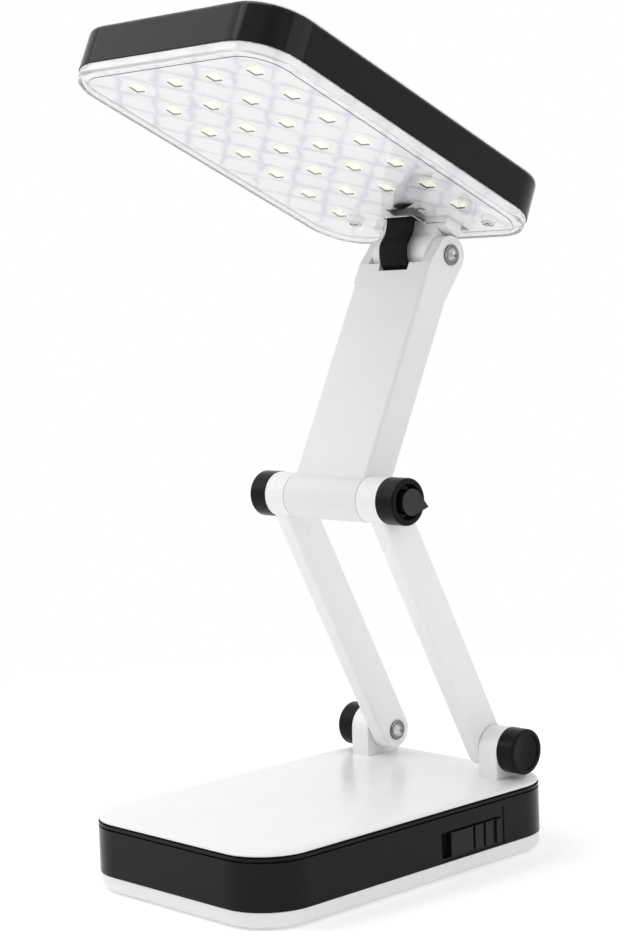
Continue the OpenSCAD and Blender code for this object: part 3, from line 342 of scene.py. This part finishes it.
RIVET_REACH = 6 * MM
RIVET_TONES_AND_BORE_LIGHT = [(0.36, grey(0.9)), (0.46, grey(0.5, 0.01)), (0.62, grey(0.16, 0.005)), (0.8, grey(0.26, 0.01)),
               (0.88, grey(0.1, 0.005))]          # from the bore out to the rolled edge; the pale bore is painted light
# a painted glow in the bore, though the rivet is no lamp
PAINTED_BORE_GLOW = 0.45
BORE_R = (2.0 * MM, 2.4 * MM)                     # the glow ends between these
GLOW_LOW, GLOW_HIGH = -1.2 * MM, 1.0 * MM         # from full glow to a tenth of it


def rivet(name, joint):
    """Rolled steel that is dark on the flange, with painted light in the bore of the joint's hollow pins: a
    pale colour and a glow.
    """
    m = Mat(name, grey(0.3, 0.01), 0.22, Metallic=1.0)
    off = m.vector("SUBTRACT", m.place, JOINTS[joint]["pos_m"])
    reach = m.vector("LENGTH", m.vector("MULTIPLY", off, (0, 1, 1)))
    m.set("Base Color", m.ramp(m.span(reach, 0, 1, 0, RIVET_REACH), RIVET_TONES_AND_BORE_LIGHT))
    m.set("Roughness", m.span(m.noise(900), 0.16, 0.3))
    m.bump(m.noise(1800, 2, 0.6), 0.12, 0.04 * MM)
    # painted light in the bore: a glow as if daylight came through it, stronger low down
    height = m.add("SeparateXYZ", {0: off}).outputs["Z"]
    m.set("Emission Color", WHITE)
    m.set("Emission Strength", m.math("MULTIPLY", m.span(reach, PAINTED_BORE_GLOW, 0, *BORE_R),
                                      m.span(height, 1, 0.1, GLOW_LOW, GLOW_HIGH)))
    return m


def metal(name, color, rough, scale, spread):
    m = Mat(name, color, rough, Metallic=1.0)
    m.mottle(m.noise(scale, 4), color, spread)
    return m


def steel():
    m = metal("steel", grey(0.42, 0.01), 0.3, 500, 0.12)
    m.set("Roughness", m.span(m.noise(900), 0.24, 0.38))
    m.bevel(0.2 * MM)
    m.bump(m.noise(1800, 2, 0.6), 0.15, 0.04 * MM)
    return m


def zinc_screw():
    m = metal("zinc_screw", grey(0.62, 0.01), 0.32, 700, 0.1)
    m.set("Roughness", m.span(m.noise(1500), 0.25, 0.4))
    return m


def board(name, rough, scale, stops, grain):
    """A circuit board whose lacquer changes tone over its tracks."""
    m = Mat(name, stops[0][1], rough)
    m.set("Base Color", m.ramp(m.cells(scale), stops))
    m.bump(m.noise(900, 2), grain, 0.04 * MM)
    return m


def cell_wrap():
    color = (0.03, 0.05, 0.12)
    m = Mat("cell_wrap", color, 0.3)
    m.mottle(m.noise(80, 4), color, 0.2)
    m.bump(m.noise(60, 3, 0.6, 1.0), 0.35, 0.6 * MM)
    return m


GREENS = [(0.1, (0.03, 0.16, 0.06)), (0.35, (0.05, 0.22, 0.09)), (0.6, (0.02, 0.11, 0.045))]
BOARD_WHITES = [(0.1, (0.8, 0.81, 0.79)), (0.5, (0.74, 0.75, 0.73))]

# ---------- the head's own frame and sizes ----------

HEAD_TILT = math.radians(23.9)
HINGE = Vector(JOINTS["head_hinge"]["pos_m"])
HEAD = Matrix.Translation(HINGE) @ Matrix.Rotation(-HEAD_TILT, 4, "X")
HEAD_W, HEAD_L, HEAD_R = 140 * MM, 200 * MM, 24.5 * MM
HEAD_BACK = 12.4 * MM                             # from the hinge to the head's rear edge
LENS_INSET = 0.5 * MM                             # the lens's outline inside the head's
LENS_W, LENS_OUT = 13.4 * MM, 4.6 * MM            # where the lens starts, and its height
SHEET_W = LENS_W + LENS_OUT
SHEET_T = 0.6 * MM
LED_GAP = 1.0 * MM                                # between the sheet and the LED board
WOBBLE_SCALE, WOBBLE_DETAIL = 75, 1.5


def head_place(mat, wobble=0.0):
    """Places in the head's own frame. With a wobble, a noise moves them about a little."""
    place = mat.add("Mapping", {"Vector": mat.place, "Location": HINGE, "Rotation": (-HEAD_TILT, 0, 0)},
                    vector_type="TEXTURE").outputs["Vector"]
    if not wobble:
        return place
    inputs = {"Vector": place, "Scale": WOBBLE_SCALE, "Detail": WOBBLE_DETAIL}
    noise = mat.add("TexNoise", inputs).outputs["Color"]
    centred = mat.vector("SUBTRACT", noise, (0.5, 0.5, 0.5))
    small = mat.add("VectorMath", {0: centred, "Scale": wobble}, operation="SCALE").outputs["Vector"]
    return mat.vector("ADD", place, small)


# ---------- lens ----------

RIM_FROM, RIM_TO = 4.5 * MM, 2.0 * MM             # insets where the clear sheet turns milky
RIM_CLEAR = 0.72                                  # and how clear it stays


def clear_lens():
    """Clear plastic with faint waves and a milky rim."""
    m = Mat("clear_lens", grey(0.99), 0.02, Transmission_Weight=1.0, IOR=1.38)
    m.set("Roughness", m.span(m.noise(50), 0.01, 0.05))
    m.bevel(0.4 * MM)
    m.bump(m.noise(22, 2, 0.4), 0.12, 0.6 * MM)
    # reach is the distance from the rectangle of the corners' centres, and is radius on the lens's outline
    radius = HEAD_R - LENS_INSET
    straight_u = HEAD_W / 2 - LENS_INSET - radius
    straight_v = HEAD_L / 2 - LENS_INSET - radius
    place = m.vector("SUBTRACT", head_place(m), (0, HEAD_BACK - HEAD_L / 2, 0))
    place = m.vector("ABSOLUTE", m.vector("MULTIPLY", place, (1, 1, 0)))
    place = m.vector("SUBTRACT", place, (straight_u, straight_v, 1))
    reach = m.vector("LENGTH", m.vector("MAXIMUM", place, (0, 0, 0)))
    m.set("Transmission Weight", m.span(reach, 1, RIM_CLEAR, radius - RIM_FROM, radius - RIM_TO))
    return m


# ---------- finish of every node ----------

MATS = {
    "cover_white": moulded("cover_white", grey(0.9), 0.22, 0.05, spread=0.006, edge=0.8 * MM),
    "tray_white": moulded("tray_white", grey(0.88), 0.34, 0.25, edge=0.6 * MM),
    "leg_white": moulded("leg_white", grey(0.89), 0.32, 0.12, spread=0.01, edge=0.6 * MM),
    "arm_white": moulded("arm_white", grey(0.81, 0.005), 0.36, 0.16, spread=0.01, edge=0.6 * MM),
    "bracket_white": moulded("bracket_white", grey(0.88), 0.34, 0.12, spread=0.01),
    "inner_white": moulded("inner_white", grey(0.8, -0.01), 0.45, 0.3),
    "black_satin": moulded("black_satin", grey(0.004, 0.0005), 0.24, 0.15, spread=0.15, edge=0.4 * MM,
                           Specular_IOR_Level=0.11),
    "knob_black": moulded("knob_black", grey(0.006, 0.0005), 0.3, 0.15, spread=0.15, edge=0.4 * MM,
                          Specular_IOR_Level=0.4),
    "switch_black": moulded("switch_black", grey(0.005, 0.0005), 0.3, 0.25, spread=0.15, edge=0.3 * MM,
                            Specular_IOR_Level=0.25),
    "switch_housing": moulded("switch_housing", grey(0.05, 0.005), 0.45, 0.3, spread=0.1, edge=0.3 * MM),
    "rubber": moulded("rubber", grey(0.02, 0.001), 0.7, 0.6, spread=0.15, edge=0.4 * MM),
    "component": moulded("component", grey(0.02, 0.002), 0.42, 0.35, spread=0.2, edge=0.2 * MM),
    "cable_black": moulded("cable_black", grey(0.012, 0.001), 0.5, 0.4, spread=0.2, edge=0.2 * MM),
    "black_gloss": black_gloss("black_gloss"), "band_gloss": band_gloss(), "strap_black": strap_black(),
    "head_rivet": rivet("head_rivet", "head_hinge"), "base_rivet": rivet("base_rivet", "base_hinge"),
    "steel": steel(), "zinc_screw": zinc_screw(), "clear_lens": clear_lens(), "cell_wrap": cell_wrap(),
    "board_green": board("board_green", 0.35, 160, GREENS, 0.15),
    "board_white": board("board_white", 0.4, 120, BOARD_WHITES, 0.12),
}

FINISH = {
    "base_tray": "tray_white", "rubber_feet": "rubber", "base_screws": "zinc_screw",
    "base_band": "band_gloss", "base_cover": "cover_white", "battery": "cell_wrap",
    "circuit_board": "board_green", "board_screws": "zinc_screw", "board_components": "component",
    "slide_switch": "switch_housing", "switch_thumb_piece": "switch_black",
    "charging_inlet": "black_satin", "base_cable": "cable_black", "battery_leads": "cable_black",
    "base_cap_right": "black_satin", "base_cap_left": "black_satin", "base_pins": "base_rivet",
    "base_washers": "zinc_screw", "leg_right": "leg_white", "leg_left": "leg_white",
    "leg_cover_right": "leg_white", "leg_cover_left": "leg_white", "leg_cable": "cable_black",
    "mid_axle": "steel", "mid_nut": "zinc_screw", "mid_washer": "zinc_screw",
    "mid_cap_left": "black_satin", "mid_cap_right": "black_satin", "friction_knob": "knob_black",
    "arm_shell": "arm_white", "arm_rear_cover": "arm_white", "arm_screws": "zinc_screw",
    "arm_cable": "cable_black", "cable_strap": "strap_black", "head_pins": "head_rivet",
    "head_bracket": "bracket_white", "bracket_screws": "zinc_screw", "head_band": "black_gloss",
    "head_cover": "cover_white", "lens": "clear_lens", "lens_screws": "zinc_screw",
    "reflector_sheet": "inner_white", "led_board": "board_white", "led_board_screws": "zinc_screw",
    "leds": "inner_white",
}
for node, finish in FINISH.items():
    slots = NODES[node].data.materials
    slots.clear()
    slots.append(MATS[finish].mat)

# the clear lens lets the light through to the reflector
NODES["lens"].visible_shadow = False
NODES["lens"].visible_diffuse = False

# ---------- mesh helpers ----------


def add_piece(name, mesh, mats):
    obj = bpy.data.objects.new(name, mesh)
    scene.collection.objects.link(obj)
    for mat in mats:
        mesh.materials.append(mat.mat)
    return obj


def bridge(bm, a, b, material=0):
    """Join two rings of as many points."""
    for i in range(len(a)):
        j = (i + 1) % len(a)
        face = bm.faces.new((a[i], a[j], b[j], b[i]))
        face.material_index = material


def mesh_from(bm, name, smooth=False):
    bmesh.ops.recalc_face_normals(bm, faces=bm.faces)
    mesh = bpy.data.meshes.new(name)
    bm.to_mesh(mesh)
    bm.free()
    for polygon in mesh.polygons:
        polygon.use_smooth = smooth
    return mesh


# ---------- square LEDs ----------

LED_SIDE, LED_H = 6.2 * MM, 1.3 * MM
LED_CUP, LED_WALL = 0.75 * MM, 0.1 * MM           # how deep the face lies in its frame, and the frame's wall
LED_CORNER = 0.2 * MM
LED_BOARD_W = SHEET_W + SHEET_T + LED_GAP
LED_ROWS, LED_COLS = 7, 4
LED_DX, LED_DY = 26.8 * MM, 23.7 * MM             # from one LED to the next
LED_Y = 20 * MM                                   # from the hinge to the nearest row
LED_SIDE_U = (LED_COLS - 1) / 2 * LED_DX          # from the middle to the outer column


def led_centres():
    """Full rows of four, but for the row at the hinge, which lacks its middle two."""
    for row in range(LED_ROWS):
        for col in range(LED_COLS):
            if row > 0 or col in (0, LED_COLS - 1):
                yield col * LED_DX - LED_SIDE_U, -(LED_Y + row * LED_DY)


LED_FRAME = (0.95, 0.94, 0.82)
LED_YELLOW = (0.97, 0.95, 0.74)
# the colour of the frame's inner wall is painted shade
LED_WALL_SHADE = (0.02, 0.02, 0.015)


def led_part(name, color, rough, scale, spread, **sockets):
    m = Mat(name, color, rough, **sockets)
    m.mottle(m.noise(scale), color, spread)
    return m


def led_materials():
    """Frame, phosphor and the frame's inner wall: the faint glow of frame and phosphor is painted light, and
    the inner wall's near-black is painted shade.
    """
    # painted light: the frame and the phosphor are given a faint glow that brightens them
    body = led_part("led_body", LED_FRAME, 0.35, 700, 0.02, Emission_Strength=0.3)
    body.set("Emission Color", (1.0, 0.99, 0.88, 1))
    phosphor = led_part("led_phosphor", LED_YELLOW, 0.35, 900, 0.03, Emission_Strength=0.4)
    phosphor.set("Emission Color", (1.0, 0.99, 0.86, 1))
    phosphor.bump(phosphor.noise(1800, 2), 0.2, 0.05 * MM)
    # painted shade on the frame's inner wall
    wall = led_part("led_shade", LED_WALL_SHADE, 0.7, 700, 0.1, Specular_IOR_Level=0.2)
    return [body, phosphor, wall]


def led_ring(bm, cx, cy, half, w):
    """A ring of eight points: a square with cut corners."""
    inner = half - LED_CORNER
    points = [(inner, -half), (half, -inner), (half, inner), (inner, half),
              (-inner, half), (-half, inner), (-half, -inner), (-inner, -half)]
    return [bm.verts.new(HEAD @ Vector((cx + x, cy + y, w))) for x, y in points]


def square_leds():
    bm = bmesh.new()
    half = LED_SIDE / 2
    face_w = LED_BOARD_W - LED_H
    rim_w = face_w - LED_CUP
    body, phosphor, wall = range(3)
    for cx, cy in led_centres():
        steps = [(half, LED_BOARD_W), (half, rim_w), (half - LED_WALL, rim_w), (half - LED_WALL, face_w)]
        top, rim, lip, face = [led_ring(bm, cx, cy, size, w) for size, w in steps]
        bridge(bm, top, rim, body)
        bridge(bm, rim, lip, body)
        # the inner wall takes the painted shade
        bridge(bm, lip, face, wall)
        bm.faces.new(list(reversed(top)))
        bm.faces.new(face).material_index = phosphor
    piece = add_piece("square_leds", mesh_from(bm, "square_leds"), led_materials())
    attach(piece, "head")
    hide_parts("leds")


# ---------- reflector sheet with pressed cells ----------

CELL_DEPTH = 0.9 * MM
CELL_SHARE = 0.4929                               # a little less than half, so that neighbours nearly reach
CELL_R = CELL_SHARE * math.hypot(LED_DX, LED_DY)  # each other's middle
CELLS_MARGIN, CELLS_FADE = 13 * MM, 7 * MM        # how far the cells go past the LEDs, and where they run out
CELLS_U = LED_SIDE_U + CELLS_MARGIN
CELLS_V0 = -(LED_Y + (LED_ROWS - 1) * LED_DY) - CELLS_MARGIN
CELLS_V1 = -LED_Y + CELLS_MARGIN
GRID = 1.25 * MM
GRID_U, GRID_V0, GRID_V1 = 68.5 * MM, -186 * MM, 11 * MM      # a little more than the sheet
CUT_BELOW, CUT_ABOVE = 3 * MM, 5 * MM             # how far the cutter stands past the flat sheet
# the sheet's white, then SHADE and the lilac seam colour, which are painted shade in the creases between the
# pressed cells
PANE = (0.88, 0.88, 0.885)
SHADE = (0.79, 0.79, 0.835)
SEAM_SHADE = (0.63, 0.63, 0.71)
SEAM_WOBBLE = 7 * MM


def lattice_distance(u, v, du, dv):
    """Distance to the nearest place of the LED grid, or of the same grid moved by du, dv."""
    a = (u + LED_SIDE_U - du) / LED_DX
    b = (-v - LED_Y - dv) / LED_DY
    return math.hypot((a - round(a)) * LED_DX, (b - round(b)) * LED_DY)


def fade(t):
    t = max(0.0, min(1.0, t))
    return t * t * (3 - 2 * t)


def cell_height(u, v):
    """Depth of the pressed cells: round pans on the LEDs and between them."""
    d = min(lattice_distance(u, v, 0, 0), lattice_distance(u, v, LED_DX / 2, LED_DY / 2))
    pan = max(0.0, 1 - (d / CELL_R) ** 2)
    edges = (CELLS_U - abs(u), v - CELLS_V0, CELLS_V1 - v)
    return CELL_DEPTH * pan * math.prod(fade(edge / CELLS_FADE) for edge in edges)


def pressed_grid():
    """The pressed sheet as a closed slab, still with a straight outline and without holes."""
    bm = bmesh.new()
    nu = int(2 * GRID_U / GRID) + 1
    nv = int((GRID_V1 - GRID_V0) / GRID) + 1
    layers = []
    for lift in (0.0, SHEET_T):
        rows = []
        for j in range(nv + 1):
            v = GRID_V0 + (GRID_V1 - GRID_V0) * j / nv
            row = []
            for i in range(nu + 1):
                u = -GRID_U + 2 * GRID_U * i / nu
                row.append(bm.verts.new(HEAD @ Vector((u, v, SHEET_W + cell_height(u, v) + lift))))
            rows.append(row)
        layers.append(rows)
    low, high = layers
    for j in range(nv):
        for i in range(nu):
            bm.faces.new((low[j][i], low[j + 1][i], low[j + 1][i + 1], low[j][i + 1]))
            bm.faces.new((high[j][i], high[j][i + 1], high[j + 1][i + 1], high[j + 1][i]))
    edge = ([(0, i) for i in range(nu)] + [(j, nu) for j in range(nv)]
            + [(nv, i) for i in range(nu, 0, -1)] + [(j, 0) for j in range(nv, 0, -1)])
    bridge(bm, [low[j][i] for j, i in edge], [high[j][i] for j, i in edge])
    return mesh_from(bm, "pressed_sheet")


def lattice(mat, place, shift_u, shift_v):
    """Distance, in cells, to the nearest place of the LED grid."""
    shift = (shift_u, shift_v + LED_Y / LED_DY, 0)
    cell = mat.add("Mapping", {"Vector": place, "Scale": (1 / LED_DX, 1 / LED_DY, 0), "Location": shift})
    inputs = {"Vector": cell.outputs["Vector"], "Scale": 1.0, "Randomness": 0.0}
    return mat.add("TexVoronoi", inputs, voronoi_dimensions="2D").outputs["Distance"]


def sheet_material():
    """White with soft lilac seams where the pressed cells meet: painted crease shade, with tones that differ
    at random.
    """
    m = Mat("pressed_sheet", PANE, 0.32)
    place = head_place(m, SEAM_WOBBLE)
    between = m.math("SUBTRACT", lattice(m, place, 0.0, 0.5), lattice(m, place, 0.5, 0.0))
    # painted shade along the seams, broken by tones that differ at random
    seam_shade_and_tone = m.math("ADD", m.math("ABSOLUTE", between), m.span(m.noise(110, 3, 0.55), -0.1, 0.08))
    m.set("Base Color", m.ramp(seam_shade_and_tone, [(0.0, SEAM_SHADE), (0.08, SHADE), (0.2, PANE), (0.4, PANE)]))
    return m


def sheet_cutter():
    """The CAD sheet with its outline and holes, made taller."""
    mesh = NODES["reflector_sheet"].data.copy()
    to_head = HEAD.inverted()
    for vert in mesh.vertices:
        place = to_head @ vert.co
        place.z = SHEET_W - CUT_BELOW if place.z < SHEET_W + SHEET_T / 2 else SHEET_W + CUT_ABOVE
        vert.co = HEAD @ place
    return add_piece("sheet_cutter", mesh, [])


def pressed_sheet():
    grid = add_piece("pressed_sheet", pressed_grid(), [])
    cutter = sheet_cutter()
    cut = grid.modifiers.new("cut", "BOOLEAN")
    cut.operation = "INTERSECT"
    cut.solver = "EXACT"
    cut.object = cutter
    graph = bpy.context.evaluated_depsgraph_get()
    mesh = bpy.data.meshes.new_from_object(grid.evaluated_get(graph))
    bpy.data.objects.remove(grid)
    bpy.data.objects.remove(cutter)
    mesh.materials.clear()
    for polygon in mesh.polygons:
        polygon.use_smooth = True
        polygon.material_index = 0
    piece = add_piece("pressed_reflector_sheet", mesh, [sheet_material()])
    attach(piece, "head")
    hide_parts("reflector_sheet")


# ---------- flat strap over the head hinge ----------

ARM_LEAN = math.radians(26.4)
EAR = Matrix.Translation(HINGE) @ Matrix.Rotation(-ARM_LEAN, 4, "X")
STRAP_W, STRAP_T = 18.7 * MM, 1.2 * MM
STRAP_FLAT, STRAP_ROUND = 0.9 * MM, 0.3 * MM      # how far from its edge it is flat, and where it turns round
STRAP_STEPS = 8
# from the arm's window over the hinge into the bracket's neck: millimetres in the arm's own frame
STRAP_PTS = [(-8.1, -19), (-8.3, -13.2), (-9.8, -10.8), (-12, -9.4), (-14.3, -6.4), (-16, -2.6),
             (-16.1, 0.4), (-15.3, 3.8), (-15.1, 6.4), (-15.7, 9.6), (-16.4, 12), (-16.4, 13.8),
             (-15.2, 15.2), (-12.6, 15.8), (-8.2, 15.9)]
# a black teardrop on the sheet, a dark piece that stands in for the shade seen in the sheet's keyhole, in the
# head's own frame: centre of its round end, tip, radius, level and thickness
DROP_SHADE_END, DROP_SHADE_TIP = Vector((4.4 * MM, -23.7 * MM)), Vector((17 * MM, -26.9 * MM))
DROP_SHADE_R, DROP_SHADE_STEPS = 2.7 * MM, 10
DROP_SHADE_W, DROP_SHADE_T = 17.1 * MM, 0.3 * MM


def smooth_line(points, steps):
    """Points on a Catmull-Rom curve through the given ones."""
    points = [Vector(p) for p in points]
    ends = [2 * points[0] - points[1]] + points + [2 * points[-1] - points[-2]]
    line = []
    for k in range(1, len(ends) - 2):
        p0, p1, p2, p3 = ends[k - 1:k + 3]
        for i in range(steps):
            t = i / steps
            line.append(0.5 * ((2 * p1) + (p2 - p0) * t + (2 * p0 - 5 * p1 + 4 * p2 - p3) * t * t
                               + (3 * p1 - p0 - 3 * p2 + p3) * t ** 3))
    return line + [points[-1]]


def strap_section():
    """Rounded section of the strap: (across, out), with thinner outer edges."""
    half, t = STRAP_W / 2, STRAP_T / 2
    flat, turn = half - STRAP_FLAT, half - STRAP_ROUND
    side = [(flat, t), (turn, 0.8 * t), (half, 0.3 * t), (half, -0.3 * t), (turn, -0.8 * t), (flat, -t)]
    return side + [(-u, w) for u, w in reversed(side)]


def drop_shade_outline():
    """A teardrop: an arc round its end, and two straight sides that touch it and meet at the tip."""
    run = DROP_SHADE_TIP - DROP_SHADE_END
    touch = math.acos(DROP_SHADE_R / run.length)
    along = math.atan2(run.y, run.x)
    for k in range(DROP_SHADE_STEPS + 1):
        angle = along + touch + (2 * math.pi - 2 * touch) * k / DROP_SHADE_STEPS
        yield DROP_SHADE_END + DROP_SHADE_R * Vector((math.cos(angle), math.sin(angle)))
    yield DROP_SHADE_TIP


def flat_strap():
    bm = bmesh.new()
    line = smooth_line(STRAP_PTS, STRAP_STEPS)
    rings = []
    for k, p in enumerate(line):
        run = (line[min(k + 1, len(line) - 1)] - line[max(k - 1, 0)]).normalized()
        out = Vector((-run.y, run.x))
        rings.append([bm.verts.new(EAR @ Vector((u, p.x * MM + out.x * w, p.y * MM + out.y * w)))
                      for u, w in strap_section()])
    for a, b in zip(rings, rings[1:]):
        bridge(bm, a, b)
    bm.faces.new(rings[0])
    bm.faces.new(list(reversed(rings[-1])))
    # a black teardrop behind the lens: a dark piece that stands in for the shade in the sheet's keyhole
    low, high = ([bm.verts.new(HEAD @ Vector((*p, w))) for p in drop_shade_outline()]
                 for w in (DROP_SHADE_W, DROP_SHADE_W + DROP_SHADE_T))
    bridge(bm, low, high)
    bm.faces.new(low)
    bm.faces.new(list(reversed(high)))
    piece = add_piece("flat_strap", mesh_from(bm, "flat_strap", smooth=True), [MATS["strap_black"]])
    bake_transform(piece)
    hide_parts("cable_strap")


square_leds()
pressed_sheet()
flat_strap()
